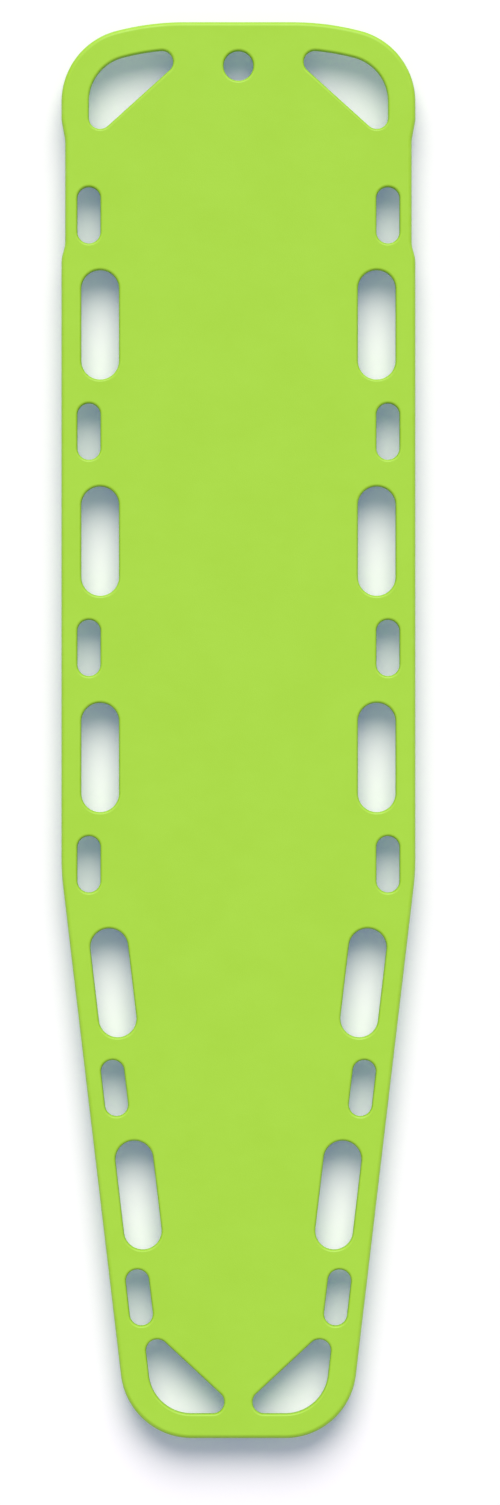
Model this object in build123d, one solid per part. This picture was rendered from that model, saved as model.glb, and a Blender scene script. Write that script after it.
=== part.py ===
from build123d import *
from dataclasses import dataclass
from math import asin, cos, degrees, radians, sin, tan
import os

# Spine board in millimetres. X runs across the board, Y along it with the head end at +Y, and Z up.
# The origin lies under the middle of the board, on the plane that its two runners stand on.

# Overall size of the moulded board
board_length = 1828.8
board_width = 457.2
deck_thickness = 35.0
runner_depth = 19.0
wall = 3.2
rim_bevel = 3.5
mouth_bevel = 3.0

# Head end: a straight stretch, a slow crown arc, then the corner arc
crown_start = 69.7
crown_radius = 350.0
head_corner_radius = 94.2

# Shallow waist on each side, measured from the head edge
waist_depth = 4.8
waist_top = 127.0
waist_top_full = 152.4
waist_foot_full = 288.4
waist_foot = 304.8
waist_blend = 40.0

# Tapered foot end, measured from the head edge
taper_start = 1098.8
taper_angle = 6.75
taper_blend = 300.0
foot_corner_radius = 92.0

# Large hand holds along each side: centre stations from the head edge, inset from the board's edge
hold_length = 141.0
hold_width = 48.4
hold_edge_inset = 50.0
hold_first_station = 390.9
hold_pitch = 279.4
hold_straight_count = 3
hold_tapered_stations = (1240.8, 1514.9)

# Strap slots between the hand holds
slot_length = 72.5
slot_width = 29.5
slot_edge_inset = 35.5
slot_first_station = 249.4
slot_pitch = 279.4
slot_straight_count = 4
slot_tapered_stations = (1376.6, 1647.1)

# Corner holds: the land left outside them, and the straight inner side
corner_tip_radius = 14.5
head_side_land = 35.5
head_end_land = 35.5
head_diagonal_angle = 42.1
head_diagonal_depth = 71.3
head_diagonal_across = 99.4
foot_side_land = 36.6
foot_end_land = 32.0
foot_diagonal_angle = 42.9
foot_diagonal_depth = 122.0
foot_diagonal_across = 93.0

# Hang hole near the head edge
hang_hole_diameter = 38.1
hang_hole_station = 56.5

# Runners under the deck: width of the flat they slide on, and the line that they follow
runner_flat_width = 26.0
runner_draft = 22.0
runner_x = 108.0
runner_head_station = 150.0
runner_foot_station = 1640.0
runner_bend_radius = 900.0

# Stiffening rods, pushed in through ports in the head edge
rod_diameter = 12.7
rod_length = 1651.0
rod_rows = (33.0, 59.0)

# Foam filling
foam_gap = 0.3

# Round plugs welded flush into the ports. Those in the underside are as thick as the wall.
plug_gap = 0.25
rod_port_diameter = 13.3
rod_plug_length = 10.0
fill_port_diameter = 25.4
fill_port_station = 440.0
vent_port_diameter = 9.5
vent_head_station = 112.0
vent_foot_inset = 93.8

# Values worked out from the ones above
half_length = board_length / 2
half_width = board_width / 2
deck_top = runner_depth + deck_thickness
deck_middle = runner_depth + deck_thickness / 2
rod_start = rod_plug_length + foam_gap
sides = {"left": -1, "right": 1}


def y_at(station):
    """Y of a point this far from the head edge."""
    return half_length - station


def edge_x(y):
    """Half width of the board at y, without the waist and the round corners."""
    return half_width - max(y_at(taper_start) - y, 0) * tan(radians(taper_angle))


def beside_edge(station, inset):
    """Centre and tilt of an opening on the right side, parallel to the edge and inset from it."""
    tilt = taper_angle if station > taper_start else 0
    y = y_at(station)
    x = edge_x(y - inset * sin(radians(tilt))) - inset * cos(radians(tilt))
    return x, y, tilt


def half_outline(waist):
    """Right half of the board's edge, from the middle of the head to the middle of the foot."""
    head = Line((0, half_length), (crown_start, half_length))
    across = half_width - head_corner_radius - crown_start
    sweep = degrees(asin(across / (crown_radius - head_corner_radius)))
    crown = JernArc(head @ 1, head % 1, crown_radius, -sweep)
    corner = JernArc(crown @ 1, crown % 1, head_corner_radius, sweep - 90)
    tilt = radians(taper_angle)
    foot_y = foot_corner_radius - half_length
    foot_x = half_width - (foot_corner_radius + (y_at(taper_start) - foot_y) * sin(tilt)) / cos(tilt)
    foot_tangent = (foot_x + foot_corner_radius * cos(tilt), foot_y - foot_corner_radius * sin(tilt))
    side = [corner @ 1]
    radii = []
    if waist:
        inner_x = half_width - waist_depth
        side += [(half_width, y_at(waist_top)), (inner_x, y_at(waist_top_full))]
        side += [(inner_x, y_at(waist_foot_full)), (half_width, y_at(waist_foot))]
        radii += [waist_blend] * 4
    side += [(half_width, y_at(taper_start)), foot_tangent]
    radii += [taper_blend]
    flank = FilletPolyline(*side, radius=radii)
    foot_corner = JernArc(flank @ 1, flank % 1, foot_corner_radius, taper_angle - 90)
    foot = Line(foot_corner @ 1, (0, -half_length))
    return Curve() + [head, crown, corner, flank, foot_corner, foot]


def outline_face(waist=True):
    """The board's plan, mirrored about its middle line."""
    right = half_outline(waist)
    return make_face(right + mirror(right, Plane.YZ))


def both_sides(sketch):
    """A right-hand opening and its mirror image."""
    return [sketch, mirror(sketch, Plane.YZ)]


def round_ended(length, width, inset):
    """A round-ended opening, or for an inner skin the flat-sided ring that just clears it."""
    if not inset:
        return SlotOverall(length, width)
    reach = width / 2 + inset
    ring = Rectangle(length + 2 * inset, 2 * reach)
    return chamfer(ring.vertices(), reach * (1 - tan(radians(22.5))))


def slotted_openings(length, width, edge_inset, stations, inset):
    """Round-ended openings along both sides, parallel to the edge."""
    found = []
    for station in stations:
        x, y, tilt = beside_edge(station, edge_inset)
        found += both_sides(Pos(x, y) * Rot(0, 0, 90 - tilt) * round_ended(length, width, inset))
    return found


def corner_window(end, side_land, end_land, angle, across, depth, inset):
    """Sharp D in a right-hand corner: concentric with the rim outside, a straight diagonal inside."""
    land = offset(outline_face(waist=False), amount=inset - side_land)
    inner = Pos(0, end * (side_land - end_land)) * land
    diagonal = Pos(across, end * (half_length - depth)) * Rot(0, 0, -end * angle)
    return inner & diagonal * Pos(0, end * (half_length / 2 - inset)) * Rectangle(board_length, half_length)


def corner_opening(*window, inset):
    """Corner hold with rounded tips, or for an inner skin the flat-tipped ring that just clears it."""
    core = offset(corner_window(*window, 0), amount=-corner_tip_radius)
    hold = offset(core, amount=corner_tip_radius)
    if not inset:
        return hold
    box = hold.bounding_box()
    clip = Rectangle(box.size.X + 2 * inset, box.size.Y + 2 * inset)
    return corner_window(*window, inset) & Pos(box.center().X, box.center().Y) * clip


def openings(inset):
    """Plans of all the openings through the deck, as the skin at this inset sees them."""
    holds = [hold_first_station + n * hold_pitch for n in range(hold_straight_count)]
    holds += hold_tapered_stations
    slots = [slot_first_station + n * slot_pitch for n in range(slot_straight_count)]
    slots += slot_tapered_stations
    head_lands = (1, head_side_land, head_end_land)
    head_diagonal = (head_diagonal_angle, head_diagonal_across, head_diagonal_depth)
    foot_lands = (-1, foot_side_land, foot_end_land)
    foot_diagonal = (foot_diagonal_angle, foot_diagonal_across, foot_diagonal_depth)
    return [
        *slotted_openings(hold_length, hold_width, hold_edge_inset, holds, inset),
        *slotted_openings(slot_length, slot_width, slot_edge_inset, slots, inset),
        *both_sides(corner_opening(*head_lands, *head_diagonal, inset=inset)),
        *both_sides(corner_opening(*foot_lands, *foot_diagonal, inset=inset)),
        Pos(0, y_at(hang_hole_station)) * round_ended(hang_hole_diameter, hang_hole_diameter, inset),
    ]


def runner_half_width(z, inset):
    """Half width of a runner's section at height z, with its drafted walls moved inwards by inset."""
    draft = radians(runner_draft)
    return runner_flat_width / 2 + z * tan(draft) - inset / cos(draft)


def runner(inset):
    """Right-hand runner: a drafted ridge that follows the board's taper, with round ends on the outside."""
    shift = (runner_foot_station - taper_start) * tan(radians(taper_angle))
    path = FilletPolyline(
        (runner_x, y_at(runner_head_station)),
        (runner_x, y_at(taper_start)),
        (runner_x - shift, y_at(runner_foot_station)),
        radius=runner_bend_radius,
    )
    root = runner_depth + inset
    edges = offset(path, amount=runner_half_width(root, inset), side=Side.BOTH).edges()
    plan = make_face(edges)
    ridge = extrude(Pos(0, 0, root) * plan, amount=-runner_depth, taper=runner_draft)
    if not inset:
        return ridge
    middle = y_at((runner_head_station + runner_foot_station) / 2)
    length = runner_foot_station - runner_head_station
    return ridge & Pos(0, middle) * Box(board_width, length, 2 * deck_top)


def board_form(inset, finished):
    """The form with every surface moved inwards by inset. Only the outside has bevelled rims and holds."""
    floor = runner_depth + inset
    roof = deck_top - inset
    plan = offset(outline_face(), amount=-inset) if inset else outline_face()
    form = extrude(Pos(0, 0, floor) * plan, amount=roof - floor)
    for opening in openings(inset):
        form -= extrude(Pos(0, 0, floor) * opening, amount=roof - floor)
    ridge = runner(inset)
    if finished:
        form = chamfer(hold_edges(form, roof), mouth_bevel)
        form = chamfer(rim_edges(form, floor) + rim_edges(form, roof), rim_bevel)
    return form + ridge + mirror(ridge, Plane.YZ)


def level_face(form, z):
    """The largest flat face of a form at height z."""
    return form.faces().filter_by(Plane.XY).filter_by_position(Axis.Z, z, z).sort_by(SortBy.AREA)[-1]


def rim_edges(form, z):
    """Edges round the outside of the flat face at height z."""
    return level_face(form, z).outer_wire().edges()


def hold_edges(form, z):
    """Edges of the openings that a hand goes through in the flat face at height z."""
    mouths = level_face(form, z).inner_wires()
    return mouths.filter_by(lambda wire: wire.length > 2 * hold_length).edges()


@dataclass(frozen=True)
class Port:
    """A round port through the wall and the plug welded into it. Its place has Z pointing outwards."""

    name: str
    place: Plane
    diameter: float
    plug_length: float

    def bore(self):
        """What the port takes out of the wall."""
        return self.place * Pos(0, 0, -wall / 2) * Cylinder(self.diameter / 2, wall)

    def plug(self):
        """Plug that ends flush with the outside of the wall."""
        radius = self.diameter / 2 - plug_gap
        return self.place * Pos(0, 0, -self.plug_length / 2) * Cylinder(radius, self.plug_length)


def rods():
    """Names and distances from the middle line of the stiffening rods."""
    rows = {"inner": rod_rows[0], "outer": rod_rows[1]}
    return {f"{side}_{row}": sign * x for side, sign in sides.items() for row, x in rows.items()}


def ports():
    """Rod ports in the head edge, and the filling and vent ports in the underside."""
    found = [
        Port(
            f"rod_plug_{name}",
            Plane((x, half_length, deck_middle), z_dir=(0, 1, 0)),
            rod_port_diameter,
            rod_plug_length,
        )
        for name, x in rods().items()
    ]
    skin_ports = {
        "fill_plug": (fill_port_station, fill_port_diameter),
        "vent_plug_head": (vent_head_station, vent_port_diameter),
        "vent_plug_foot": (board_length - vent_foot_inset, vent_port_diameter),
    }
    for name, (station, diameter) in skin_ports.items():
        place = Plane((0, y_at(station), runner_depth), z_dir=(0, 0, -1))
        found.append(Port(name, place, diameter, wall))
    return found


def along_board(x, diameter, head_station, foot_station):
    """A cylinder along the board between two stations."""
    middle = y_at((head_station + foot_station) / 2)
    return Pos(x, middle, deck_middle) * Rot(90, 0, 0) * Cylinder(diameter / 2, foot_station - head_station)


def board_shell():
    """One-piece hollow moulding with its tunnels, rolled rims, runners and ports."""
    shell = board_form(0, finished=True) - board_form(wall, finished=False)
    for port in ports():
        shell -= port.bore()
    return shell


def foam_core():
    """Foam that fills the shell, with a tunnel behind each rod port for the plug and the rod."""
    foam = board_form(wall + foam_gap, finished=False)
    for x in rods().values():
        foam -= along_board(x, rod_port_diameter, 0, rod_start + rod_length + foam_gap)
    return foam


def main():
    """Writes each piece to its own file."""
    os.makedirs("parts", exist_ok=True)
    pieces = {"board_shell": board_shell(), "foam_core": foam_core()}
    rod_end = rod_start + rod_length
    for name, x in rods().items():
        pieces[f"stiffener_rod_{name}"] = along_board(x, rod_diameter, rod_start, rod_end)
    pieces |= {port.name: port.plug() for port in ports()}
    for name, piece in pieces.items():
        export_step(piece, f"parts/{name}.step")


main()
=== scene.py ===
import logging
import math
from dataclasses import dataclass, field
from enum import Enum

import bpy
import numpy as np
from mathutils.geometry import delaunay_2d_cdt
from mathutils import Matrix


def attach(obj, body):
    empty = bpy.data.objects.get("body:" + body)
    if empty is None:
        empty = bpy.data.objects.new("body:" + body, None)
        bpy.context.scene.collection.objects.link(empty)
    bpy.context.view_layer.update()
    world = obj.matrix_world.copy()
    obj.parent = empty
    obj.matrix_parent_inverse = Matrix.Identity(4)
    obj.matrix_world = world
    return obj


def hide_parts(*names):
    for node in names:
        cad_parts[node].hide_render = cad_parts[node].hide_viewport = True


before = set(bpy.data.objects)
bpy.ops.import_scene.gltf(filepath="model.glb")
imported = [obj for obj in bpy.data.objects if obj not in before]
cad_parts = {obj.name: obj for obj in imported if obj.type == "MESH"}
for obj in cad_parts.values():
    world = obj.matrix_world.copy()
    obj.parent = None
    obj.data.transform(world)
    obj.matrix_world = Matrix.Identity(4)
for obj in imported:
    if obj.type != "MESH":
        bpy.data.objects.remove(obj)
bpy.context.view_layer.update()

log = logging.getLogger("spine_board")
MM = 0.001
TINY = 1e-9
Pair = tuple[float, float]
Triple = tuple[float, float, float]
Colour = Triple


class Facing(Enum):
    """Way that a flat stretch of skin faces, as its two in-plane directions and its outward one."""

    UP = ((1, 0, 0), (0, 1, 0), (0, 0, 1))
    DOWN = ((1, 0, 0), (0, -1, 0), (0, 0, -1))
    HEAD = ((-1, 0, 0), (0, 0, 1), (0, 1, 0))


class Slot(Enum):
    """Material slots of the record, whose names are logged beside the new pieces."""

    SHELL = "shell_plastic"
    PLUG = "plug_plastic"


@dataclass(frozen=True)
class Loop:
    """A closed line in the plan, in millimetres, walked with the air on its left.

    The board's edge is walked clockwise and the edge of an opening the other way round, so the
    normals always point out of the plastic.
    """

    points: np.ndarray
    normals: np.ndarray

    def inset(self, amount: float) -> np.ndarray:
        """Points of the loop moved into the plastic by an amount."""
        return self.points - amount * self.normals

    def mirrored(self) -> "Loop":
        """The loop on the other side of the middle line, still walked with the air on its left."""
        flip = np.array([-1.0, 1.0])
        return Loop((self.points * flip)[::-1], (self.normals * flip)[::-1])


class Track:
    """Walks a line made of straights and arcs, and keeps evenly spaced points and headings of it."""

    straight_step = 12.0
    arc_step = 3.0
    arc_turn = math.radians(5.5)
    least_length = 1e-6

    def __init__(self, x: float, y: float, heading: float) -> None:
        """Starts at a point, with a heading in degrees."""
        self.place = np.array([x, y], float)
        self.heading = math.radians(heading)
        self.points: list[np.ndarray] = []
        self.headings: list[np.ndarray] = []

    def forward(self, length: float) -> "Track":
        """Goes straight on: the start plus a growing part of the length along the heading.

        Args:
            length: Length of the straight in millimetres. Nothing is added for a length of nought.

        Returns:
            The track itself.
        """
        if length > self.least_length:
            count = max(1, math.ceil(length / self.straight_step))
            along = np.arange(count) / count * length
            way = np.array([math.cos(self.heading), math.sin(self.heading)])
            self.points.append(self.place + along[:, None] * way)
            self.headings.append(np.full(count, self.heading))
            self.place = self.place + length * way
        return self

    def turn(self, radius: float, angle: float) -> "Track":
        """Follows an arc: a centre beside the track plus the radius turned through a growing angle.

        Args:
            radius: Radius of the arc in millimetres.
            angle: Angle of the turn in degrees, positive to the left.

        Returns:
            The track itself.
        """
        total = math.radians(angle)
        count = max(2, math.ceil(abs(total) / self.arc_turn), math.ceil(radius * abs(total) / self.arc_step))
        side = math.copysign(1.0, total)
        heading = self.heading + np.arange(count + 1) / count * total
        left = np.stack([-np.sin(heading), np.cos(heading)], 1)
        centre = self.place + side * radius * left[0]
        places = centre - side * radius * left
        self.points.append(places[:-1])
        self.headings.append(heading[:-1])
        self.place, self.heading = places[-1], float(heading[-1])
        return self

    def through(self, corners: list[Pair], radii: list[float]) -> "Track":
        """Goes by straights through corners that are rounded by arcs, and ends at the last corner.

        Each arc's tangent points lie at the radius times the tangent of half the turn from its corner.

        Args:
            corners: The corners in order, and the end.
            radii: Radius of the arc at each corner but the end.

        Returns:
            The track itself.
        """
        for index, corner in enumerate(corners):
            gap = np.array(corner) - self.place
            reach = math.hypot(*gap)
            if index == len(corners) - 1:
                return self.forward(reach)
            beyond = np.array(corners[index + 1]) - np.array(corner)
            swing = math.atan2(beyond[1], beyond[0]) - math.atan2(gap[1], gap[0])
            swing = (swing + math.pi) % (2 * math.pi) - math.pi
            self.forward(reach - radii[index] * math.tan(abs(swing) / 2))
            self.turn(radii[index], math.degrees(swing))
        return self

    def line(self) -> tuple[np.ndarray, np.ndarray]:
        """Points walked so far, without the end, and the directions to their left."""
        heading = np.concatenate(self.headings)
        return np.concatenate(self.points), np.stack([-np.sin(heading), np.cos(heading)], 1)

    def loop(self) -> Loop:
        """The walked line as a closed loop."""
        return Loop(*self.line())


@dataclass(frozen=True)
class BoardPlan:
    """Plan sizes of the board in millimetres, as in the part's source. Stations start at the head edge."""

    length: float = 1828.8
    width: float = 457.2
    crown_start: float = 69.7
    crown_radius: float = 350.0
    head_corner_radius: float = 94.2
    waist_depth: float = 4.8
    waist_stations: tuple[float, float, float, float] = (127.0, 152.4, 288.4, 304.8)
    waist_blend: float = 40.0
    taper_start: float = 1098.8
    taper_angle: float = 6.75
    taper_blend: float = 300.0
    foot_corner_radius: float = 92.0
    hold_size: Pair = (141.0, 48.4)
    hold_inset: float = 50.0
    hold_stations: tuple[float, ...] = (390.9, 670.3, 949.7, 1240.8, 1514.9)
    slot_size: Pair = (72.5, 29.5)
    slot_inset: float = 35.5
    slot_stations: tuple[float, ...] = (249.4, 528.8, 808.2, 1087.6, 1376.6, 1647.1)
    tip_radius: float = 14.5
    least_step: float = 0.05
    head_lands: Pair = (35.5, 35.5)
    head_diagonal: Triple = (42.1, 99.4, 71.3)
    foot_lands: Pair = (36.6, 32.0)
    foot_diagonal: Triple = (42.9, 93.0, 122.0)
    hang_station: float = 56.5
    hang_diameter: float = 38.1
    runner_x: float = 108.0
    runner_stations: Pair = (150.0, 1640.0)
    runner_bend: float = 900.0

    def y_at(self, station: float) -> float:
        """Y of a point this far from the head edge."""
        return self.length / 2 - station

    def half_outline(self, waist: bool) -> Track:
        """Walks the right half of the edge, from the middle of the head to the middle of the foot.

        Args:
            waist: Whether the shallow waist is walked too.

        Returns:
            The track, at the middle of the foot.
        """
        half = self.width / 2
        tilt = math.radians(self.taper_angle)
        reach = half - self.head_corner_radius - self.crown_start
        sweep = math.degrees(math.asin(reach / (self.crown_radius - self.head_corner_radius)))
        foot_y = self.foot_corner_radius - self.length / 2
        drop = self.y_at(self.taper_start) - foot_y
        foot_x = half - (self.foot_corner_radius + drop * math.sin(tilt)) / math.cos(tilt)
        tangent = (
            foot_x + self.foot_corner_radius * math.cos(tilt),
            foot_y - self.foot_corner_radius * math.sin(tilt),
        )
        corners = [(half, self.y_at(self.taper_start)), tangent]
        radii = [self.taper_blend]
        if waist:
            rows = zip((half, half - self.waist_depth, half - self.waist_depth, half), self.waist_stations)
            corners = [(x, self.y_at(station)) for x, station in rows] + corners
            radii = [self.waist_blend] * 4 + radii
        track = Track(0, self.length / 2, 0).forward(self.crown_start)
        track.turn(self.crown_radius, -sweep).turn(self.head_corner_radius, sweep - 90)
        track.through(corners, radii).turn(self.foot_corner_radius, self.taper_angle - 90)
        return track.forward(foot_x)

    def outline(self, waist: bool = True) -> Loop:
        """The board's whole edge, walked clockwise: the right half and its mirror image.

        Args:
            waist: Whether it has the shallow waist.

        Returns:
            The closed edge.
        """
        points, normals = self.half_outline(waist).line()
        flip = np.array([-1.0, 1.0])
        end = np.array([[0.0, -self.length / 2]])
        down = np.array([[0.0, -1.0]])
        left_points, left_normals = (points * flip)[:0:-1], (normals * flip)[:0:-1]
        return Loop(np.concatenate([points, end, left_points]), np.concatenate([normals, down, left_normals]))

    def round_ended(self, size: Pair, inset: float, station: float) -> Loop:
        """A round-ended opening on the right, parallel to the edge: two straights and two half circles.

        Args:
            size: Its length and width.
            inset: Distance of its middle from the edge.
            station: Distance of its middle from the head edge.

        Returns:
            Its closed edge.
        """
        length, width = size
        tilt = self.taper_angle if station > self.taper_start else 0.0
        lean = math.radians(tilt)
        y = self.y_at(station)
        drop = max(self.y_at(self.taper_start) - (y - inset * math.sin(lean)), 0)
        x = self.width / 2 - drop * math.tan(math.radians(self.taper_angle)) - inset * math.cos(lean)
        heading = 90 - tilt
        along = np.array([math.cos(math.radians(heading)), math.sin(math.radians(heading))])
        across = np.array([along[1], -along[0]])
        start = np.array([x, y]) - along * (length - width) / 2 + across * width / 2
        track = Track(start[0], start[1], heading).forward(length - width).turn(width / 2, 180)
        return track.forward(length - width).turn(width / 2, 180).loop()

    def corner_hold(self, end: int, lands: Pair, diagonal: Triple) -> Loop:
        """D-shaped hold in a right-hand corner.

        A circle of the tip's radius rolls inside the line that runs parallel to the board's edge, and is
        stopped by the diagonal. The opening is what the circle sweeps: the centre's path grown by the radius.

        Args:
            end: 1 for the head and -1 for the foot.
            lands: Land left beside the side edge and beside the end edge.
            diagonal: Angle of the inner side in degrees, its distance across and its depth from the end.

        Returns:
            Its closed edge.
        """
        edge = self.outline(waist=False)
        side_land, end_land = lands
        angle, across, depth = diagonal
        path = edge.inset(side_land + self.tip_radius) + np.array([0.0, end * (side_land - end_land)])
        lean = math.radians(-end * angle)
        outward = end * np.array([-math.sin(lean), math.cos(lean)])
        anchor = np.array([across, end * (self.length / 2 - depth)]) + outward * self.tip_radius
        height = (path - anchor) @ outward
        inside = (height > 0) & (path[:, 0] > 0)
        kept = np.flatnonzero(inside)
        kept = kept[np.argsort(kept if end < 0 or not inside[0] else (kept + 1) % len(path))]
        first, last = kept[0], kept[-1]

        def crossing(inner: int, outer: int) -> tuple[np.ndarray, np.ndarray]:
            """Point and normal where the path meets the diagonal, part of the way between two samples.

            Args:
                inner: Number of the sample inside the opening.
                outer: Number of its neighbour beyond the diagonal.

            Returns:
                The point and the normal there.
            """
            share = height[inner] / (height[inner] - height[outer])
            return (
                path[inner] + share * (path[outer] - path[inner]),
                edge.normals[inner] + share * (edge.normals[outer] - edge.normals[inner]),
            )

        start, start_normal = crossing(first, (first - 1) % len(path))
        stop, stop_normal = crossing(last, (last + 1) % len(path))

        def tip(centre: np.ndarray, before: np.ndarray, after: np.ndarray) -> tuple[np.ndarray, np.ndarray]:
            """Round tip: normals turned evenly from one to the other, and the centre grown along them.

            Args:
                centre: Centre of the tip.
                before: Normal where the tip starts.
                after: Normal where it ends.

            Returns:
                Its points and their normals.
            """
            from_angle = math.atan2(before[1], before[0])
            sweep = (math.atan2(after[1], after[0]) - from_angle) % (-2 * math.pi)
            count = max(4, math.ceil(-sweep / Track.arc_turn))
            turned = from_angle + np.arange(count + 1) / count * sweep
            out = np.stack([np.cos(turned), np.sin(turned)], 1)
            return centre + self.tip_radius * out, out

        curve = path[kept] + self.tip_radius * edge.normals[kept]
        stop_points, stop_out = tip(stop, stop_normal, -outward)
        start_points, start_out = tip(start, -outward, start_normal)
        gap = start_points[0] - stop_points[-1]
        count = max(2, math.ceil(math.hypot(*gap) / Track.straight_step))
        straight = stop_points[-1] + (np.arange(1, count) / count)[:, None] * gap
        points = np.concatenate([curve, stop_points, straight, start_points])
        outs = np.concatenate([edge.normals[kept], stop_out, np.tile(-outward, (count - 1, 1)), start_out])
        apart = np.linalg.norm(points - np.roll(points, 1, axis=0), axis=1) > self.least_step
        return Loop(points[apart][::-1], -outs[apart][::-1])

    def hang_hole(self) -> Loop:
        """Round hole on the middle line near the head edge."""
        radius = self.hang_diameter / 2
        return Track(radius, self.y_at(self.hang_station), 90).turn(radius, 360).loop()

    def openings(self) -> list[Loop]:
        """Edges of all the openings through the deck."""
        right = [self.round_ended(self.hold_size, self.hold_inset, place) for place in self.hold_stations]
        right += [self.round_ended(self.slot_size, self.slot_inset, place) for place in self.slot_stations]
        right.append(self.corner_hold(1, self.head_lands, self.head_diagonal))
        right.append(self.corner_hold(-1, self.foot_lands, self.foot_diagonal))
        return [*right, *[loop.mirrored() for loop in right], self.hang_hole()]

    def runner(self, half_width: float) -> Loop:
        """Edge of the right-hand runner at one height: its path grown by a half width, with round ends.

        Args:
            half_width: Half of the runner's width at that height.

        Returns:
            Its closed edge.
        """
        head, foot = (self.y_at(station) for station in self.runner_stations)
        bend = self.y_at(self.taper_start)
        turn = self.taper_angle
        cut = self.runner_bend * math.tan(math.radians(turn) / 2)
        rest = (bend - foot) / math.cos(math.radians(turn)) - cut
        track = Track(self.runner_x + half_width, head, -90).forward(head - bend - cut)
        track.turn(self.runner_bend + half_width, -turn).forward(rest).turn(half_width, -180)
        track.forward(rest).turn(self.runner_bend - half_width, turn)
        return track.forward(head - bend - cut).turn(half_width, -180).loop()


@dataclass(frozen=True)
class Profile:
    """Section carried along a loop: distance into the plastic, height, and wear of each of its points."""

    inward: np.ndarray
    height: np.ndarray
    wear: np.ndarray

    def normals(self, start: Pair, end: Pair) -> np.ndarray:
        """Outward and upward parts of the surface's normal, from the slope between neighbouring points.

        Args:
            start: The normal at the first point, where the section meets a flat.
            end: The normal at the last point.

        Returns:
            One pair for each point, of unit length.
        """
        out = np.gradient(-self.inward)
        up = np.gradient(self.height)
        pair = np.stack([-up, out], 1)
        pair /= np.linalg.norm(pair, axis=1, keepdims=True)
        pair[0], pair[-1] = start, end
        return pair


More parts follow.
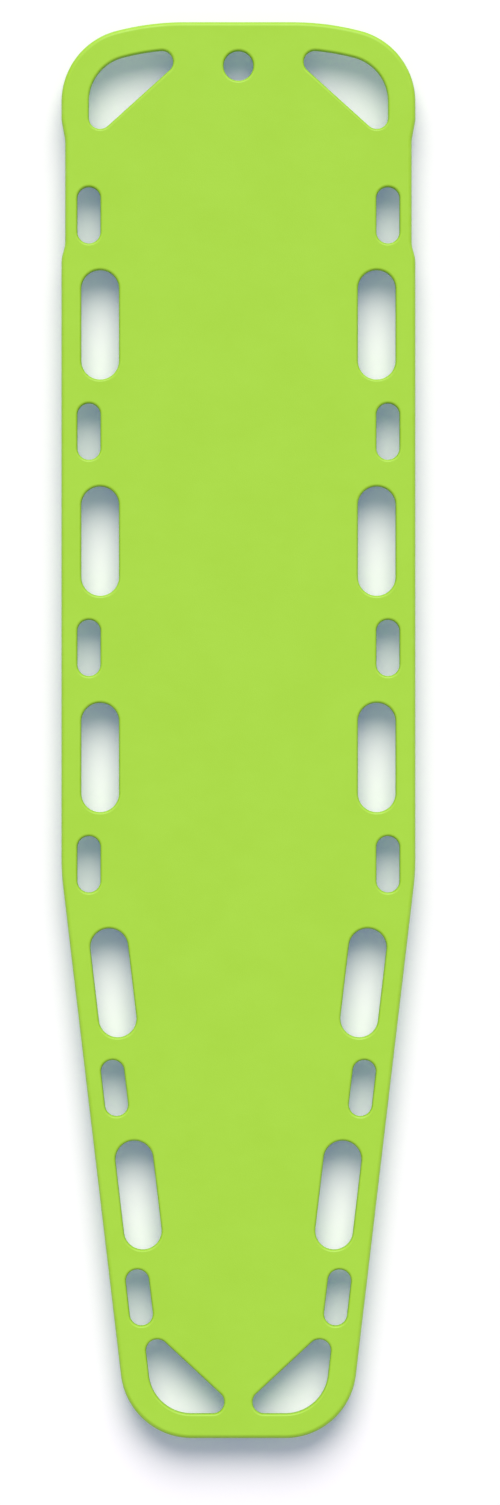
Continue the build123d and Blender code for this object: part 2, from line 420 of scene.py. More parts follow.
class Skin:
    """Gathers patches of surface and sews them into one closed mesh with exact normals."""

    grain = 1e-3
    grain_shift = 0.37
    least_gap = 1e-6

    def __init__(self) -> None:
        """Starts with no patches."""
        self.points: list[np.ndarray] = []
        self.normals: list[np.ndarray] = []
        self.wear: list[np.ndarray] = []
        self.faces: list[np.ndarray] = []
        self.count = 0

    def add(self, points: np.ndarray, normals: np.ndarray, wear: np.ndarray, *faces: np.ndarray) -> None:
        """Adds one patch.

        Args:
            points: Its points.
            normals: The normal at each point.
            wear: The wear at each point, from 0 to 1.
            faces: Arrays of faces, one row each, that count the points from the patch's own first.
        """
        self.points.append(points)
        self.normals.append(normals)
        self.wear.append(wear)
        self.faces += [face + self.count for face in faces]
        self.count += len(points)

    def carry(
        self,
        loop: Loop,
        profile: Profile,
        start: Pair,
        end: Pair,
        relief: np.ndarray | None = None,
        place: np.ndarray | None = None,
    ) -> None:
        """Carries a profile along a loop.

        The surface is a grid over the loop's points and the profile's points: each loop point moved into
        the plastic by the profile's distance, at the profile's height.

        Args:
            loop: The line that the profile follows.
            profile: The section, from its upper end to its lower end.
            start: Normal of the section's first point.
            end: Normal of its last point.
            relief: Extra distance outwards: a row for each loop point, a column for each profile point.
            place: Turns and moves the patch, as three direction rows and a row for the origin.
        """
        rows, columns = len(loop.points), len(profile.height)
        inward = np.tile(profile.inward, (rows, 1))
        if relief is not None:
            inward = inward - relief
        plan = loop.points[:, None, :] - inward[:, :, None] * loop.normals[:, None, :]
        height = np.tile(profile.height, (rows, 1))
        points = np.concatenate([plan, height[:, :, None]], 2).reshape(-1, 3)
        pair = profile.normals(start, end)
        out = loop.normals[:, None, :] * pair[None, :, :1]
        up = np.broadcast_to(pair[None, :, 1:], (rows, columns, 1))
        normals = np.concatenate([out, up], 2).reshape(-1, 3)
        if place is not None:
            points = points @ place[:3] + place[3]
            normals = normals @ place[:3]
        index = np.arange(rows * columns).reshape(rows, columns)
        following = np.roll(index, -1, axis=0)
        quads = np.stack([index[:, :-1], following[:, :-1], following[:, 1:], index[:, 1:]], 2)
        self.add(points, normals, np.tile(profile.wear, rows), quads.reshape(-1, 4))

    def fill(self, rings: list[np.ndarray], facing: Facing, level: float) -> None:
        """Fills the flat between rings with triangles whose edges include the rings.

        The triangles cover the hull of the rings. Those at the hull are inside where their outer edge
        belongs to a ring, and the rest follow from their neighbours: each ring crossed turns in to out.

        Args:
            rings: Closed rings in the flat's own two directions.
            facing: The way the flat faces.
            level: Its distance from the origin along the outward direction.
        """
        sizes = [len(ring) for ring in rings]
        starts = np.concatenate([[0], np.cumsum(sizes)[:-1]])
        edges = np.concatenate(
            [np.stack([np.arange(n), np.roll(np.arange(n), -1)], 1) + s for n, s in zip(sizes, starts)]
        )
        given = np.concatenate(rings)
        found = delaunay_2d_cdt(given.tolist(), edges.tolist(), [], 0, self.least_gap, True)
        source = np.array([origin[0] for origin in found[3]])
        flat = given[source]
        triangles = np.array([face[:] for face in found[2]])
        triangles = triangles[self.inside(source[triangles], edges, len(given))]
        p, q, r = (flat[triangles[:, n]] for n in range(3))
        area = (q[:, 0] - p[:, 0]) * (r[:, 1] - p[:, 1]) - (q[:, 1] - p[:, 1]) * (r[:, 0] - p[:, 0])
        triangles[area < 0] = triangles[area < 0][:, ::-1]
        frame_rows = np.array(facing.value, float)
        points = flat @ frame_rows[:2] + level * frame_rows[2]
        normals = np.tile(frame_rows[2], (len(points), 1))
        self.add(points, normals, np.zeros(len(points)), triangles)

    @staticmethod
    def inside(triangles: np.ndarray, ring_edges: np.ndarray, count: int) -> np.ndarray:
        """Which triangles of a hull lie inside its rings.

        Args:
            triangles: Three point numbers for each triangle.
            ring_edges: Two point numbers for each ring edge.
            count: Number of points.

        Returns:
            True for each triangle that lies inside.
        """

        def key(pairs: np.ndarray) -> np.ndarray:
            """One number for each edge, whichever way it is walked."""
            return pairs.min(1) * count + pairs.max(1)

        sides = key(np.concatenate([triangles[:, [0, 1]], triangles[:, [1, 2]], triangles[:, [2, 0]]]))
        owner = np.tile(np.arange(len(triangles)), 3)
        on_ring = np.isin(sides, key(ring_edges))
        order = np.argsort(sides, kind="stable")
        pair = np.flatnonzero(sides[order][:-1] == sides[order][1:])
        left, right = owner[order[pair]], owner[order[pair + 1]]
        turns = on_ring[order[pair]]
        single = np.ones(len(sides), bool)
        single[order[pair]] = single[order[pair + 1]] = False
        state = np.full(len(triangles), -1)
        state[owner[single]] = on_ring[single]
        while (state < 0).any():
            known = (state < 0).sum()
            for near, far in ((left, right), (right, left)):
                ready = (state[near] >= 0) & (state[far] < 0)
                state[far[ready]] = state[near[ready]] ^ turns[ready]
            if (state < 0).sum() == known:
                break
        return state == 1

    def sew(self, name: str) -> bpy.types.Object:
        """Joins points that fall together, and makes the object in metres.

        Args:
            name: The object's name.

        Returns:
            The new object, with its normals and its wear attribute.
        """
        points = np.concatenate(self.points)
        normals = np.concatenate(self.normals)
        wear = np.concatenate(self.wear)
        keys = np.floor(points / self.grain + self.grain_shift).astype(np.int64)
        _, first, back = np.unique(keys, axis=0, return_index=True, return_inverse=True)
        back = back.reshape(-1)
        summed = np.zeros((len(first), 3))
        np.add.at(summed, back, normals)
        summed /= np.maximum(np.linalg.norm(summed, axis=1, keepdims=True), TINY)
        patches = [back[face] for face in self.faces]
        patches = [rows[(np.diff(np.sort(rows, axis=1), axis=1) > 0).all(axis=1)] for rows in patches]
        sides = np.concatenate([np.full(len(rows), rows.shape[1]) for rows in patches])
        used, corners = np.unique(np.concatenate([rows.ravel() for rows in patches]), return_inverse=True)
        mesh = new_mesh(name, points[first[used]], corners, sides, wear[first[used]])
        mesh.normals_split_custom_set_from_vertices(summed[used].tolist())
        made = bpy.data.objects.new(name, mesh)
        bpy.context.scene.collection.objects.link(made)
        return made


def new_mesh(
    name: str, points: np.ndarray, corners: np.ndarray, sides: np.ndarray, wear: np.ndarray
) -> bpy.types.Mesh:
    """Fills a smooth-shaded mesh in metres from whole arrays.

    Args:
        name: The mesh's name.
        points: Places of the points in millimetres.
        corners: Point numbers of all the faces, one face after another.
        sides: Number of corners of each face.
        wear: Wear of each point, from 0 to 1.

    Returns:
        The new mesh.
    """
    mesh = bpy.data.meshes.new(name)
    mesh.vertices.add(len(points))
    mesh.vertices.foreach_set("co", (points * MM).astype(np.float32).ravel())
    mesh.loops.add(len(corners))
    mesh.loops.foreach_set("vertex_index", corners.astype(np.int32).ravel())
    mesh.polygons.add(len(sides))
    starts = np.cumsum(sides) - sides
    mesh.polygons.foreach_set("loop_start", starts.astype(np.int32))
    mesh.polygons.foreach_set("use_smooth", np.ones(len(sides), bool))
    layer = mesh.attributes.new("edge_wear", "FLOAT", "POINT")
    layer.data.foreach_set("value", wear.astype(np.float32))
    mesh.update(calc_edges=True)
    mesh.validate()
    return mesh


def quarter(centre: Pair, radius: float, start: float, end: float, count: int) -> np.ndarray:
    """Arc of a section: inward distance and height at evenly turned angles round a centre.

    Args:
        centre: Inward distance and height of the centre.
        radius: Radius of the arc.
        start: First angle in degrees. Nought points out of the plastic and 90 points up.
        end: Last angle in degrees.
        count: Number of points.

    Returns:
        One row for each point.
    """
    turned = np.radians(np.linspace(start, end, count))
    return np.stack([centre[0] - radius * np.cos(turned), centre[1] + radius * np.sin(turned)], 1)


def section(*pieces: np.ndarray, worn: tuple[bool, ...]) -> Profile:
    """Joins stretches of a section into one profile, with wear swelling to 1 in the middle of worn ones.

    Args:
        pieces: The stretches, in order.
        worn: Whether each stretch is worn.

    Returns:
        The profile, without points that fall together.
    """
    wear = [np.sin(np.linspace(0, math.pi, len(p))) if w else np.zeros(len(p)) for p, w in zip(pieces, worn)]
    line = np.concatenate(pieces)
    keep = np.concatenate([[True], np.linalg.norm(np.diff(line, axis=0), axis=1) > TINY])
    line = line[keep]
    return Profile(line[:, 0], line[:, 1], np.concatenate(wear)[keep])


@dataclass(frozen=True)
class BoardShell:
    """The hollow moulding: deck, rolled rims, tunnels, runners and ports, as one closed skin."""

    plan: BoardPlan = field(default_factory=BoardPlan)
    deck_top: float = 54.0
    deck_bottom: float = 19.0
    rim_radius: float = 5.2
    mouth_radius: float = 3.3
    wall_setback: float = 0.3
    seam_width: float = 1.6
    seam_reach: float = 0.6
    seam_points: int = 7
    seam_fade: Pair = (40.0, 60.0)
    round_points: int = 9
    runner_flat: float = 26.0
    runner_draft: float = 22.0
    root_radius: float = 8.0
    sole_radius: float = 3.5
    port_lip: float = 0.6
    port_depth: float = 3.25
    lip_points: int = 5
    rod_ports: tuple[float, ...] = (-59.0, -33.0, 33.0, 59.0)
    rod_port_radius: float = 6.65
    rod_plug_depth: float = 9.7
    skin_plug_depth: float = 3.2
    skin_ports: tuple[Pair, ...] = ((440.0, 12.7), (112.0, 4.75), (1735.0, 4.75))

    @property
    def middle(self) -> float:
        """Height of the mould's parting line."""
        return (self.deck_top + self.deck_bottom) / 2

    def edge_profile(self, radius: float) -> Profile:
        """Section of a rim or a tunnel: a rounding, a wall with steps at the parting line, a rounding.

        Args:
            radius: Radius of both roundings.

        Returns:
            The profile from the deck to the underside.
        """
        back, middle, count = self.wall_setback, self.middle, self.round_points
        upper = quarter((back + radius, self.deck_top - radius), radius, 90, 0, count)
        lower = quarter((back + radius, self.deck_bottom + radius), radius, 0, -90, count)
        steps = self.seam_width * np.linspace(self.seam_reach, -self.seam_reach, self.seam_points)
        wall = np.stack([np.full(len(steps), back), middle + steps], 1)
        return section(upper, wall, lower, worn=(True, False, True))

    def seam(self, profile: Profile, strength: np.ndarray) -> np.ndarray:
        """Fine ridge left by the mould: a raised cosine across the parting line, scaled along the loop.

        Args:
            profile: The section that carries it.
            strength: Share of its full height at each loop point.

        Returns:
            Its height, a row for each loop point and a column for each profile point.
        """
        across = np.clip(np.abs(profile.height - self.middle) / (self.seam_width / 2), 0, 1)
        return self.wall_setback * strength[:, None] * (0.5 + 0.5 * np.cos(math.pi * across))[None, :]

    def wall_window(self, loop: Loop) -> tuple[np.ndarray, np.ndarray]:
        """Finds the flat stretch of the head edge, where the mould's ridge is cut away for the ports.

        Args:
            loop: The board's edge.

        Returns:
            Which loop points bound the flat stretch, and how strong the ridge is at each point.
        """
        fade, reach = self.seam_fade
        beyond = np.abs(loop.points[:, 0]) - self.plan.crown_start
        head = loop.points[:, 1] > 0
        strength = np.where(head & (beyond < reach), np.clip(beyond / fade, 0, 1), 1.0)
        return head & (beyond < Skin.least_gap), strength

    def rim(self, skin: Skin) -> np.ndarray:
        """Rolled rim round the board, with the wall of its flat head stretch left out for the rod ports.

        Args:
            skin: The skin that it joins.

        Returns:
            The inset of the rim where it meets the flats.
        """
        loop = self.plan.outline()
        profile = self.edge_profile(self.rim_radius)
        flat, strength = self.wall_window(loop)
        before = len(skin.faces)
        skin.carry(loop, profile, (0, 1), (0, -1), self.seam(profile, strength))
        quads = skin.faces[before]
        level = profile.height
        low, high = self.deck_bottom + self.rim_radius, self.deck_top - self.rim_radius
        on_wall = (level < high + Skin.least_gap) & (level > low - Skin.least_gap)
        columns = len(level)
        start = quads[0, 0]
        row, column = (quads - start) // columns, (quads - start) % columns
        gone = (flat[row] & on_wall[column]).all(1)
        skin.faces[before] = quads[~gone]
        self.head_wall(skin, loop.points[flat, 0], level[on_wall])
        return loop.inset(self.wall_setback + self.rim_radius)

    def head_wall(self, skin: Skin, across: np.ndarray, levels: np.ndarray) -> None:
        """Flat wall of the head edge with the four rod ports in it.

        Args:
            skin: The skin that it joins.
            across: Places of its outer points from side to side.
            levels: Heights of its outer points.
        """
        across, levels = np.sort(-across), np.sort(levels)
        bottom = np.stack([across, np.full_like(across, levels[0])], 1)
        top = np.stack([across[::-1], np.full_like(across, levels[-1])], 1)
        right = np.stack([np.full(len(levels) - 2, across[-1]), levels[1:-1]], 1)
        left = np.stack([np.full(len(levels) - 2, across[0]), levels[-2:0:-1]], 1)
        rings = [np.concatenate([bottom, right, top, left])]
        wall_y = self.plan.length / 2 - self.wall_setback
        rows = np.array([*Facing.HEAD.value, (0.0, wall_y, 0.0)], float)
        for x in self.rod_ports:
            rings.append(self.port(skin, (-x, self.middle), self.rod_port_radius, rows))
        skin.fill(rings, Facing.HEAD, wall_y)

    def port(self, skin: Skin, centre: Pair, radius: float, rows: np.ndarray) -> np.ndarray:
        """Blind round port with a small rounded lip, closed at its inner end.

        Args:
            skin: The skin that it joins.
            centre: Its middle, in the flat's own two directions.
            radius: Its radius.
            rows: The flat's three directions and its origin.

        Returns:
            The ring where the lip meets the flat round it.
        """
        loop = Track(centre[0] + radius, centre[1], 90).turn(radius, 360).loop()
        lip = quarter((self.port_lip, -self.port_lip), self.port_lip, 90, 0, self.lip_points)
        bore = np.array([[0.0, -self.port_depth]])
        profile = section(lip, bore, worn=(False, False))
        skin.carry(loop, profile, (0, 1), (1, 0), place=rows)
        steps = np.arange(len(loop.points))
        hub = len(loop.points)
        disc = np.concatenate([loop.points, [centre]])
        disc = np.concatenate([disc, np.full((hub + 1, 1), -self.port_depth)], 1) @ rows[:3] + rows[3]
        fan = np.stack([steps, np.roll(steps, -1), np.full(hub, hub)], 1)
        skin.add(disc, np.tile(rows[2], (hub + 1, 1)), np.zeros(hub + 1), fan)
        return loop.inset(self.port_lip)

    def runner(self, skin: Skin, mirrored: bool) -> np.ndarray:
        """Drafted runner: a hollow fillet at its root, a sloping wall, a rounded sole edge and a flat sole.

        Args:
            skin: The skin that it joins.
            mirrored: Whether it is the left-hand one.

        Returns:
            The ring where its fillet meets the underside.
        """
        draft = math.radians(self.runner_draft)
        depth = self.deck_bottom
        lean = depth * math.tan(draft)
        loop = self.plan.runner(self.runner_flat / 2 + lean)
        if mirrored:
            loop = loop.mirrored()
        turn = 90 - self.runner_draft
        cut = math.tan(math.radians(turn) / 2)
        root, sole = self.root_radius, self.sole_radius
        angles = np.radians(np.linspace(0, turn, self.round_points))
        fillet = np.stack([-root * cut + root * np.sin(angles), depth - root * (1 - np.cos(angles))], 1)
        edge_angles = angles[::-1]
        edge = np.stack([lean + sole * cut - sole * np.sin(edge_angles), sole * (1 - np.cos(edge_angles))], 1)
        profile = section(fillet, edge, worn=(False, True))
        skin.carry(loop, profile, (0, -1), (0, -1))
        skin.fill([loop.inset(lean + sole * cut) * (1, -1)], Facing.DOWN, 0.0)
        return loop.inset(-root * cut)

    def build(self) -> bpy.types.Object:
        """Builds the whole skin.

        Returns:
            The shell as one closed mesh.
        """
        skin = Skin()
        tunnel = self.edge_profile(self.mouth_radius)
        rings = [self.rim(skin)]
        for loop in self.plan.openings():
            skin.carry(loop, tunnel, (0, 1), (0, -1), self.seam(tunnel, np.ones(len(loop.points))))
            rings.append(loop.inset(self.wall_setback + self.mouth_radius))
        skin.fill(rings, Facing.UP, self.deck_top)
        below = [*rings, self.runner(skin, False), self.runner(skin, True)]
        below = [ring * (1, -1) for ring in below]
        rows = np.array([*Facing.DOWN.value, (0.0, 0.0, self.deck_bottom)], float)
        for station, radius in self.skin_ports:
            below.append(self.port(skin, (0.0, -self.plan.y_at(station)), radius, rows))
        skin.fill(below, Facing.DOWN, -self.deck_bottom)
        return skin.sew("moulded_shell")


@dataclass(frozen=True)
class WeldedPlug:
    """Round plug with a sunk face and the ring of weld that closes it into its port."""

    node: str
    facing: Facing
    centre: Triple
    radius: float
    depth: float
    proud: float = 0.25
    bead: float = 0.95
    bead_foot: float = 0.05
    bead_points: int = 9
    port_gap: float = 0.25
    dimple: Triple = (0.9, 1.4, 0.75)
    face_sink: Pair = (0.40, 0.35)
    face_land: Triple = (1.9, 1.3, 0.10)
    under_lip: Triple = (0.6, 0.25, 0.40)
    chamfer: float = 0.3
    turns: int = 72

    def section(self) -> np.ndarray:
        """Section from the middle of the face, over the bead of weld, to the middle of the inner end.

        The face has a dimple in its middle and is sunk, the bead is a half sine that stands proud of the
        flat round it, and the inner end has a small chamfer.

        Returns:
            Radius and height of each point.
        """
        r, foot = self.radius, self.bead_foot
        arch = np.linspace(0, math.pi, self.bead_points)
        spread = r + self.port_gap - self.bead * np.cos(arch)
        ring = np.stack([spread, (self.proud + foot) * np.sin(arch) - foot], 1)
        dimple, slope, sunk = self.dimple
        middle, rise = self.face_sink
        land, step, top = self.face_land
        face = [[0, -sunk], [dimple, -sunk], [slope, -middle], [r - land, -rise], [r - step, -top]]
        reach, lip, throat = self.under_lip
        end, cut = -self.depth, self.chamfer
        under = [[r + reach, -lip], [r, -throat], [r, end + cut], [r - cut, end], [0, end]]
        return np.concatenate([np.array(face), ring, np.array(under)])

    def bead_wear(self, line: np.ndarray) -> np.ndarray:
        """Wear along the section: rising evenly to 1 at the top of the bead and back to nought.

        Args:
            line: The section.

        Returns:
            One value for each of its points.
        """
        along = np.concatenate([[0], np.cumsum(np.linalg.norm(np.diff(line, axis=0), axis=1))])
        top = int(np.argmax(line[:, 1]))
        half = self.bead_points // 2 + 1
        return np.interp(along, along[[top - half, top, top + half]], [0, 1, 0])

    def build(self) -> bpy.types.Object:
        """Turns the section about the plug's axis: radius and height over a full circle of angles.

        Returns:
            The plug as one closed mesh.
        """
        line, count = self.section(), self.turns
        turned = np.arange(count) / count * 2 * math.pi
        flat = line[None, 1:-1, :1] * np.stack([np.cos(turned), np.sin(turned)], 1)[:, None, :]
        rise = np.tile(line[1:-1, 1], (count, 1))
        grid = np.concatenate([flat, rise[:, :, None]], 2).reshape(-1, 3)
        local = np.concatenate([grid, [[0, 0, line[0, 1]], [0, 0, line[-1, 1]]]])
        rows = np.array(self.facing.value, float)
        points = local @ rows + np.array(self.centre)
        columns = len(line) - 2
        index = np.arange(count * columns).reshape(count, columns)
        following = np.roll(index, -1, axis=0)
        quads = np.stack([index[:, :-1], index[:, 1:], following[:, 1:], following[:, :-1]], 2).reshape(-1, 4)
        hub, base = count * columns, count * columns + 1
        cap = np.stack([np.full(count, hub), index[:, 0], following[:, 0]], 1)
        floor = np.stack([np.full(count, base), following[:, -1], index[:, -1]], 1)
        wear = np.zeros(len(points))
        wear[:hub] = np.tile(self.bead_wear(line)[1:-1], count)
        corners = np.concatenate([quads.ravel(), cap.ravel(), floor.ravel()])
        sides = np.repeat([4, 3, 3], [len(quads), count, count])
        mesh = new_mesh(f"{self.node}_welded", points, corners, sides, wear)
        made = bpy.data.objects.new(mesh.name, mesh)
        bpy.context.scene.collection.objects.link(made)
        return made


@dataclass(frozen=True)
class Grain:
    """A layer of noise: its waves to the metre, its detail, and the stretch of its values that counts."""

    scale: float
    detail: float
    stretch: Pair = (0.0, 1.0)


class Nodes:
    """Small helper that writes a material's node tree."""

    noise_roughness = 0.55
    refraction = 1.5

    def __init__(self, tree: bpy.types.NodeTree) -> None:
        """Empties the tree."""
        self.tree = tree
        tree.nodes.clear()

    def add(self, kind: str, **settings: object) -> bpy.types.Node:
        """Adds a node.

        Args:
            kind: The node's type.
            settings: Values of its properties.

        Returns:
            The node.
        """
        node = self.tree.nodes.new(kind)
        for name, value in settings.items():
            setattr(node, name, value)
        return node

    def feed(self, node: bpy.types.Node, **inputs: object) -> bpy.types.Node:
        """Sets or links a node's inputs.

        Args:
            node: The node.
            inputs: Values or outputs by the input's name, with an underscore for a space, or by "in"
                and its number.

        Returns:
            The node itself.
        """
        for name, value in inputs.items():
            numbered = name.startswith("in") and name[2:].isdigit()
            key: object = int(name[2:]) if numbered else name.replace("_", " ")
            if isinstance(value, bpy.types.NodeSocket):
                self.tree.links.new(value, node.inputs[key])
            else:
                node.inputs[key].default_value = value
        return node

    def noise(self, where: bpy.types.NodeSocket, grain: Grain) -> bpy.types.NodeSocket:
        """Smooth random values over a position, as a number from 0 to 1.

        Args:
            where: The position.
            grain: Scale and detail of the noise.

        Returns:
            The number's output.
        """
        node = self.add("ShaderNodeTexNoise")
        self.feed(node, Vector=where, Scale=grain.scale, Detail=grain.detail, Roughness=self.noise_roughness)
        return node.outputs[0]

    def spread(self, value: bpy.types.NodeSocket, stretch: Pair, ends: Pair) -> bpy.types.NodeSocket:
        """Maps a stretch of a value evenly onto two ends, and stops at them.

        Args:
            value: The value's output.
            stretch: Lowest and highest value that count.
            ends: What they become.

        Returns:
            The new value's output.
        """
        node = self.add("ShaderNodeMapRange")
        self.feed(node, in0=value, in1=stretch[0], in2=stretch[1], in3=ends[0], in4=ends[1])
        return node.outputs[0]

    def layer(self, where: bpy.types.NodeSocket, grain: Grain, ends: Pair) -> bpy.types.NodeSocket:
        """Noise with its stretch spread between two ends."""
        return self.spread(self.noise(where, grain), grain.stretch, ends)

    def maths(self, operation: str, a: object, b: object) -> bpy.types.NodeSocket:
        """Works out one value from two."""
        return self.feed(self.add("ShaderNodeMath", operation=operation), in0=a, in1=b).outputs[0]

    def mix(self, share: object, a: object, b: object) -> bpy.types.NodeSocket:
        """Mixes two colours, each a plain colour or an output.

        Args:
            share: Share of the second colour.
            a: The first colour.
            b: The second colour.

        Returns:
            The mixed colour's output.
        """
        whole = [c if isinstance(c, bpy.types.NodeSocket) else (*c, 1.0) for c in (a, b)]
        node = self.add("ShaderNodeMix", data_type="RGBA")
        return self.feed(node, in0=share, in6=whole[0], in7=whole[1]).outputs[2]

    def bump(self, height: bpy.types.NodeSocket, relief: Pair) -> bpy.types.Node:
        """Raises the surface by a height.

        Args:
            height: The height's output, from 0 to 1.
            relief: Strength, and the height in metres that 1 stands for.

        Returns:
            The bump node.
        """
        node = self.add("ShaderNodeBump")
        return self.feed(node, Strength=relief[0], Distance=relief[1], Height=height)

    def worn(self) -> bpy.types.NodeSocket:
        """Wear of the surface, from 0 to 1."""
        return self.add("ShaderNodeAttribute", attribute_name="edge_wear").outputs["Fac"]

    def shader(self, colour: object, roughness: object, bump: bpy.types.Node) -> bpy.types.Node:
        """Adds the shader of a solid that isn't metal.

        Args:
            colour: Its colour or the output of one.
            roughness: Its roughness or the output of one.
            bump: The bump node that it follows.

        Returns:
            The shader node.
        """
        node = self.add("ShaderNodeBsdfPrincipled")
        self.feed(node, Base_Color=colour, Roughness=roughness, IOR=self.refraction)
        return self.feed(node, Normal=bump.outputs[0])


@dataclass(frozen=True)
class Finish:
    """A material written as nodes over the object's own coordinates."""

    name: str = "finish"

    def surface(self, kit: Nodes, where: bpy.types.NodeSocket) -> bpy.types.Node:
        """Adds the finish's own nodes and returns its shader. Each finish has its own."""
        raise NotImplementedError(self.name)

    def material(self) -> bpy.types.Material:
        """Writes the whole node tree.

        Returns:
            The material.
        """
        made = bpy.data.materials.new(self.name)
        made.use_nodes = True
        kit = Nodes(made.node_tree)
        shader = self.surface(kit, kit.add("ShaderNodeTexCoord").outputs["Object"])
        kit.feed(kit.add("ShaderNodeOutputMaterial"), Surface=shader.outputs[0])
        return made


@dataclass(frozen=True)
class MouldedPlastic(Finish):
    """Satin polyethylene from a rotating mould: fine pebble, slow ripples, mottling and rubbed edges."""

    name: str = "moulded_polyethylene"
    colour: Colour = (0.366, 0.661, 0.032)
    deep: Colour = (0.356, 0.645, 0.027)
    rubbed: Colour = (0.410, 0.690, 0.075)
    mottle: Grain = Grain(14.0, 4.0, (0.35, 0.65))
    patches: Grain = Grain(60.0, 5.0, (0.45, 0.75))
    patch_share: float = 0.55
    polish: Grain = Grain(35.0, 4.0, (0.3, 0.7))
    roughness: Pair = (0.41, 0.52)
    pebble: Grain = Grain(760.0, 2.0)
    pebble_relief: Pair = (0.30, 0.0004)
    ripple: Grain = Grain(26.0, 2.0)
    ripple_relief: Pair = (0.18, 0.0016)

    def surface(self, kit: Nodes, where: bpy.types.NodeSocket) -> bpy.types.Node:
        """Mottled colour, paler where edges are rubbed, with uneven gloss and two layers of bump.

        Args:
            kit: The material's nodes.
            where: Position in the object's own coordinates.

        Returns:
            The shader node.
        """
        colour = kit.mix(kit.layer(where, self.mottle, (0.0, 1.0)), self.deep, self.colour)
        patches = kit.layer(where, self.patches, (0.0, self.patch_share))
        colour = kit.mix(kit.maths("MULTIPLY", kit.worn(), patches), colour, self.rubbed)
        gloss = kit.layer(where, self.polish, self.roughness)
        fine = kit.bump(kit.noise(where, self.pebble), self.pebble_relief)
        broad = kit.bump(kit.noise(where, self.ripple), self.ripple_relief)
        kit.feed(broad, Normal=fine.outputs[0])
        return kit.shader(colour, gloss, broad)


@dataclass(frozen=True)
class WeldPlastic(Finish):
    """The moulding's own plastic, melted into a plug: a shade deeper, and smooth on the bead."""

    name: str = "weld_polyethylene"
    colour: Colour = (0.330, 0.640, 0.028)
    deep: Colour = (0.280, 0.580, 0.022)
    flow: Grain = Grain(420.0, 3.0)
    roughness: Pair = (0.48, 0.30)
    relief: Pair = (0.3, 0.0003)

    def surface(self, kit: Nodes, where: bpy.types.NodeSocket) -> bpy.types.Node:
        """Colour and bump from one noise, and more gloss where the weld stands proud.

        Args:
            kit: The material's nodes.
            where: Position in the object's own coordinates.

        Returns:
            The shader node.
        """
        flow = kit.noise(where, self.flow)
        gloss = kit.spread(kit.worn(), (0.0, 1.0), self.roughness)
        return kit.shader(kit.mix(flow, self.deep, self.colour), gloss, kit.bump(flow, self.relief))


@dataclass(frozen=True)
class PouredFoam(Finish):
    """Stiff poured foam: cream cells, with painted shade darkening the pits of the cells."""

    name: str = "poured_foam"
    colour: Colour = (0.78, 0.70, 0.46)
    painted_pit_shade: Colour = (0.50, 0.41, 0.22)
    cells_per_metre: float = 520.0
    cell_stretch: Pair = (0.15, 0.70)
    roughness: float = 0.9
    relief: Pair = (0.5, 0.0008)

    def surface(self, kit: Nodes, where: bpy.types.NodeSocket) -> bpy.types.Node:
        """Colour and bump from the distance to the middle of each cell, darker where the bump sinks the pit.

        Args:
            kit: The material's nodes.
            where: Position in the object's own coordinates.

        Returns:
            The shader node.
        """
        node = kit.feed(kit.add("ShaderNodeTexVoronoi"), Vector=where, Scale=self.cells_per_metre)
        cells = node.outputs["Distance"]
        # Painted shade: the colour darkens towards each cell's middle, where the bump is lowest.
        colour = kit.mix(kit.spread(cells, self.cell_stretch, (0.0, 1.0)), self.painted_pit_shade, self.colour)
        return kit.shader(colour, self.roughness, kit.bump(cells, self.relief))


@dataclass(frozen=True)
class DrawnComposite(Finish):
    """Pultruded rod: near-black resin with long fine fibres along it."""

    name: str = "drawn_composite"
    colour: Colour = (0.030, 0.031, 0.034)
    resin: Colour = (0.012, 0.012, 0.014)
    stretch_along: float = 0.02
    fibre: Grain = Grain(1800.0, 3.0, (0.3, 0.7))
    roughness: Pair = (0.28, 0.42)
    relief: Pair = (0.25, 0.0002)

    def surface(self, kit: Nodes, where: bpy.types.NodeSocket) -> bpy.types.Node:
        """Noise drawn out along the rod, for the colour, the gloss and the bump.

        Args:
            kit: The material's nodes.
            where: Position in the object's own coordinates.

        Returns:
            The shader node.
        """
        mapping = kit.add("ShaderNodeMapping")
        drawn = kit.feed(mapping, Vector=where, Scale=(1.0, self.stretch_along, 1.0)).outputs[0]
        fibre = kit.noise(drawn, self.fibre)
        gloss = kit.spread(fibre, self.fibre.stretch, self.roughness)
        return kit.shader(kit.mix(fibre, self.resin, self.colour), gloss, kit.bump(fibre, self.relief))


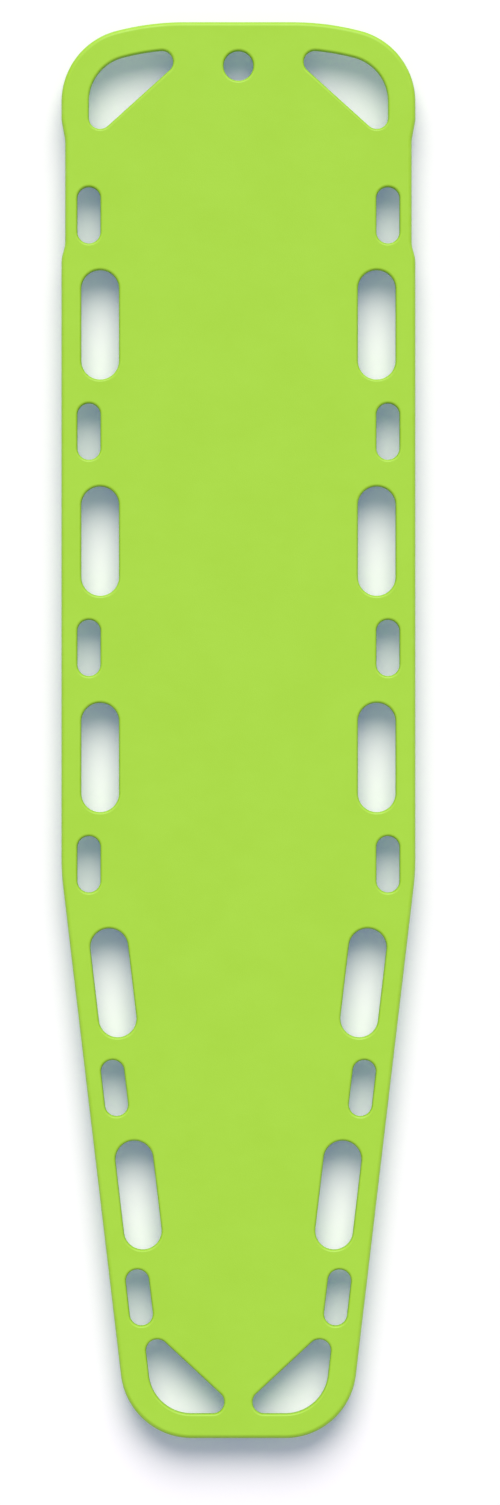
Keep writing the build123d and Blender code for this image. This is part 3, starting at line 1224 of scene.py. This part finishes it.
@dataclass(frozen=True)
class Studio:
    """White floor, soft key light from the head end, even sky and a camera straight above the board."""

    photo_size: tuple[int, int] = (500, 1505)
    photo_middle: Pair = (238.4, 730.15)
    mm_per_pixel: float = 1.2909
    camera_distance: float = 24.0
    key_lean: float = 40.0
    key_spread: float = 46.0
    key_level: float = 0.66
    sky_level: float = 0.36
    # Painted fill light: the floor's glow for camera rays, which sets the colour of its shadows.
    painted_shadow_glow: Colour = (0.05, 0.08, 0.23)
    lit: Colour = (0.98, 0.92, 0.83)
    bounce: Colour = (0.8, 0.8, 0.8)
    floor_reach: float = 20.0
    sensor: float = 36.0
    lamp_place: Triple = (0.0, 2.0, 4.0)

    def white_to_eye(self, kit: Nodes) -> bpy.types.NodeSocket:
        """Tells the rays that see white from those that light the board.

        Args:
            kit: The nodes to write to.

        Returns:
            An output that is 1 for rays from the camera, mirrors and glass, and 0 for the rest.
        """
        path = kit.add("ShaderNodeLightPath").outputs
        seen = kit.maths("MAXIMUM", path["Is Camera Ray"], path["Is Glossy Ray"])
        return kit.maths("MAXIMUM", seen, path["Is Transmission Ray"])

    def sky(self) -> None:
        """World: plain soft light on the board, and white where it is seen directly."""
        world = bpy.data.worlds.new("studio_sky")
        bpy.context.scene.world = world
        world.use_nodes = True
        kit = Nodes(world.node_tree)
        seen = self.white_to_eye(kit)
        level = kit.spread(seen, (0.0, 1.0), (self.sky_level, 1.0))
        glow = kit.feed(kit.add("ShaderNodeBackground"), Color=(1, 1, 1, 1), Strength=level)
        kit.feed(kit.add("ShaderNodeOutputWorld"), Surface=glow.outputs[0])

    def floor(self) -> None:
        """Floor: white where the light reaches it, cool grey in its shadows from a painted glow, and clear
        from below.
        """
        mesh = bpy.data.meshes.new("studio_floor")
        corners = self.floor_reach * np.array([(-1, -1, 0), (1, -1, 0), (1, 1, 0), (-1, 1, 0)])
        mesh.from_pydata(corners.tolist(), [], [(0, 1, 2, 3)])
        floor = bpy.data.objects.new("studio_floor", mesh)
        bpy.context.scene.collection.objects.link(floor)
        made = bpy.data.materials.new("studio_white")
        made.use_nodes = True
        kit = Nodes(made.node_tree)
        path = kit.add("ShaderNodeLightPath").outputs
        seen = kit.mix(path["Is Camera Ray"], self.bounce, self.lit)
        body = kit.feed(kit.add("ShaderNodeBsdfDiffuse"), Color=seen)
        # Painted fill light: a cool-grey emission that only camera rays see lifts and tints the floor's
        # shadows, and the warm lit colour balances it to white in the open.
        glow = kit.add("ShaderNodeEmission")
        kit.feed(glow, Color=(*self.painted_shadow_glow, 1.0), Strength=path["Is Camera Ray"])
        both = kit.feed(kit.add("ShaderNodeAddShader"), in0=body.outputs[0], in1=glow.outputs[0])
        clear = kit.add("ShaderNodeBsdfTransparent")
        back = kit.add("ShaderNodeNewGeometry").outputs["Backfacing"]
        sided = kit.feed(kit.add("ShaderNodeMixShader"), in0=back, in1=both.outputs[0], in2=clear.outputs[0])
        kit.feed(kit.add("ShaderNodeOutputMaterial"), Surface=sided.outputs[0])
        mesh.materials.append(made)

    def lamps(self) -> None:
        """Key light: a broad far lamp that leans from the head end and lights the deck at a plain level."""
        data = bpy.data.lights.new("key_light", "SUN")
        data.energy = math.pi * self.key_level / math.cos(math.radians(self.key_lean))
        data.angle = math.radians(self.key_spread)
        lamp = bpy.data.objects.new("key_light", data)
        lamp.rotation_euler = (math.radians(-self.key_lean), 0, 0)
        lamp.location = self.lamp_place
        bpy.context.scene.collection.objects.link(lamp)

    def camera(self, deck_top: float) -> None:
        """Camera over the board with a very long lens, framing what the photograph frames.

        Args:
            deck_top: Height of the deck in millimetres, the plane that is in scale with the photograph.
        """
        width, height = self.photo_size
        across = (width / 2 - self.photo_middle[0]) * self.mm_per_pixel * MM
        along = (self.photo_middle[1] - height / 2) * self.mm_per_pixel * MM
        data = bpy.data.cameras.new("camera")
        data.sensor_width = self.sensor
        data.lens = data.sensor_width * self.camera_distance / (height * self.mm_per_pixel * MM)
        data.clip_end = 2 * (self.camera_distance + self.floor_reach)
        eye = bpy.data.objects.new("camera", data)
        eye.location = (across, along, self.camera_distance + deck_top * MM)
        bpy.context.scene.collection.objects.link(eye)
        bpy.context.scene.camera = eye

    def build(self, deck_top: float) -> None:
        """Sets up the whole studio.

        Args:
            deck_top: Height of the deck in millimetres.
        """
        self.sky()
        self.floor()
        self.lamps()
        self.camera(deck_top)
        bpy.context.scene.view_settings.view_transform = "Standard"


def dress(piece: bpy.types.Object, finish: bpy.types.Material, slot: Slot, nodes: list[str]) -> None:
    """Gives a new piece its finish and its body, hides the nodes that it stands for, and logs its slot.

    Args:
        piece: The piece.
        finish: Its material.
        slot: The record's slot, named in the log.
        nodes: Names of the nodes that it replaces.
    """
    piece.data.materials.append(finish)
    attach(piece, "root")
    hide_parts(*nodes)
    log.info("%s: %d faces, %s", piece.name, len(piece.data.polygons), slot.value)


def carry_over(prefix: str, finish: bpy.types.Material) -> None:
    """Gives every kept node whose name starts with a prefix a better finish.

    Args:
        prefix: Start of the nodes' names.
        finish: Their new material.
    """
    for name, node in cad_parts.items():
        if name.startswith(prefix):
            node.data.materials.clear()
            node.data.materials.append(finish)
            log.info("%s keeps its solid", name)


def plugs(shell: BoardShell) -> list[WeldedPlug]:
    """Plugs of the rod ports in the head edge and of the ports in the underside.

    Args:
        shell: The shell that they close.

    Returns:
        The seven plugs.
    """
    wall_y = shell.plan.length / 2 - shell.wall_setback
    names = ("left_outer", "left_inner", "right_inner", "right_outer")
    radius, depth = shell.rod_port_radius - WeldedPlug.port_gap, shell.rod_plug_depth
    made = [
        WeldedPlug(f"rod_plug_{name}", Facing.HEAD, (x, wall_y, shell.middle), radius, depth)
        for name, x in zip(names, shell.rod_ports)
    ]
    for name, (station, radius) in zip(("fill_plug", "vent_plug_head", "vent_plug_foot"), shell.skin_ports):
        centre = (0.0, shell.plan.y_at(station), shell.deck_bottom)
        radius -= WeldedPlug.port_gap
        made.append(WeldedPlug(name, Facing.DOWN, centre, radius, shell.skin_plug_depth))
    return made


def main() -> None:
    """Builds the board, its plugs and the studio, and reports each piece."""
    logging.basicConfig(level=logging.INFO, format="%(name)s %(message)s")
    shell = BoardShell()
    dress(shell.build(), MouldedPlastic().material(), Slot.SHELL, ["board_shell"])
    weld = WeldPlastic().material()
    for plug in plugs(shell):
        dress(plug.build(), weld, Slot.PLUG, [plug.node])
    carry_over("foam_core", PouredFoam().material())
    carry_over("stiffener_rod", DrawnComposite().material())
    Studio().build(shell.deck_top)


if __name__ == "__main__":
    main()
